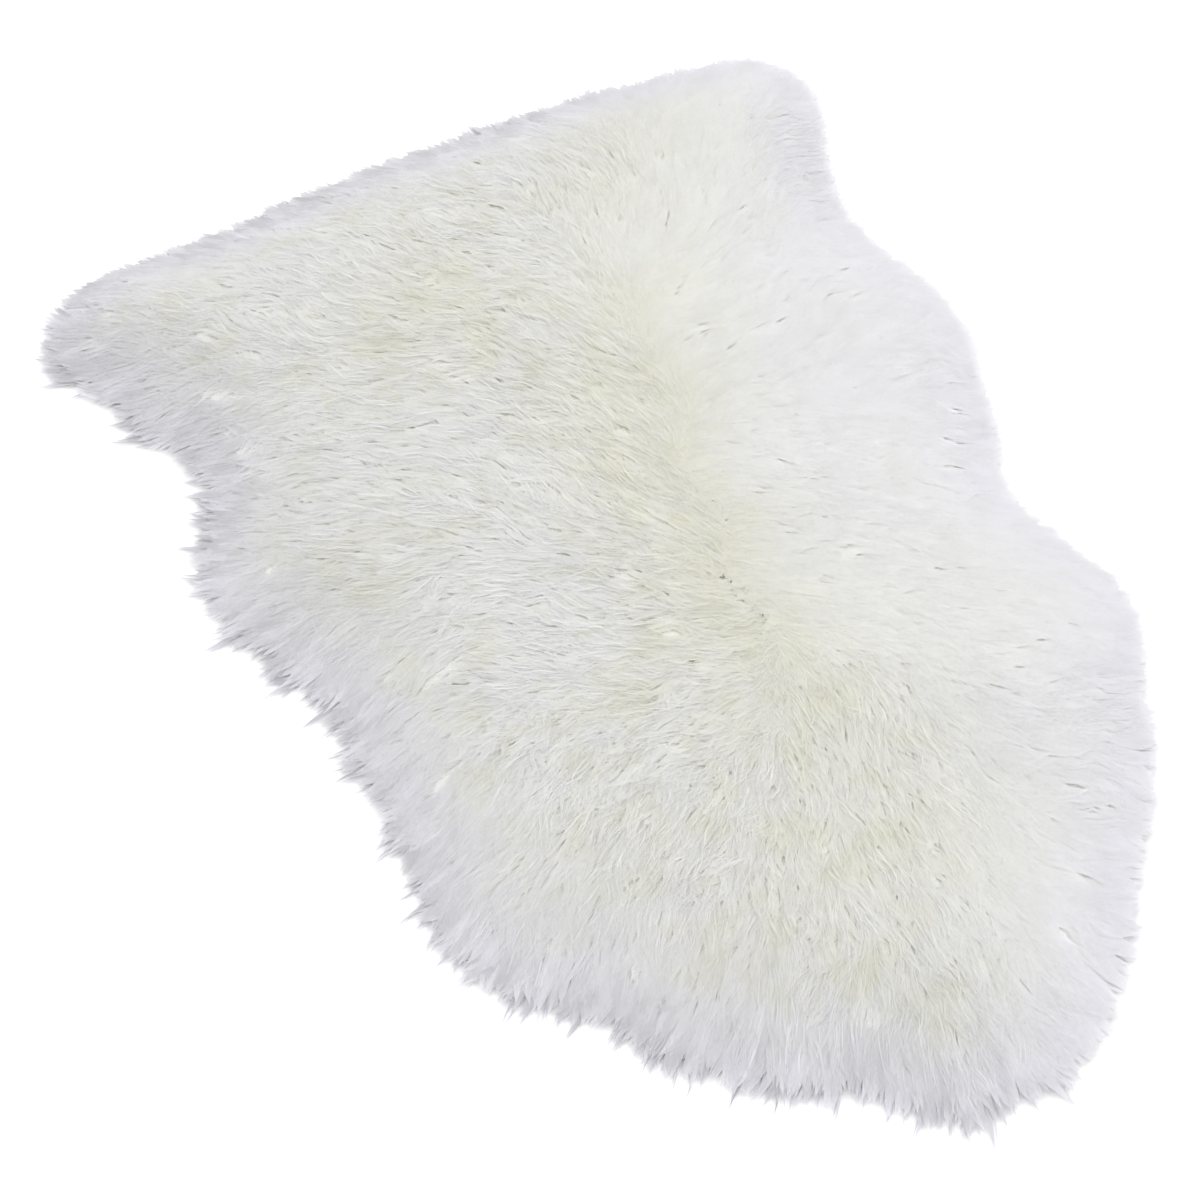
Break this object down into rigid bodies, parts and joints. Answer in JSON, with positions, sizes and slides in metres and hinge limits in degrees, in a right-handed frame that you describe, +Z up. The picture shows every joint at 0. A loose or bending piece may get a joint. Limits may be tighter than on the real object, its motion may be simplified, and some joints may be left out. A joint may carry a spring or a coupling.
{
  "type": "sheepskin rug",
  "caption": "Whole tanned sheepskin lying flat as a rug, long wool upward, parted along the back and ending in pointed locks all round the rim.",
  "frame": {"origin": "middle of the underside's bounding box, on the floor", "axes": "+Z up out of the wool, +Y along the animal's back towards the wide end, +X to the right seen from above"},
  "size_m": [0.7096, 1.0174, 0.06],
  "materials": {
    "wool": "long undyed cream-white wool, matt with a soft sheen",
    "skin": "pale suede on the side that lies on the floor"
  },
  "bodies": {
    "root": {"sheepskin": "wool"}
  },
  "joints": []
}
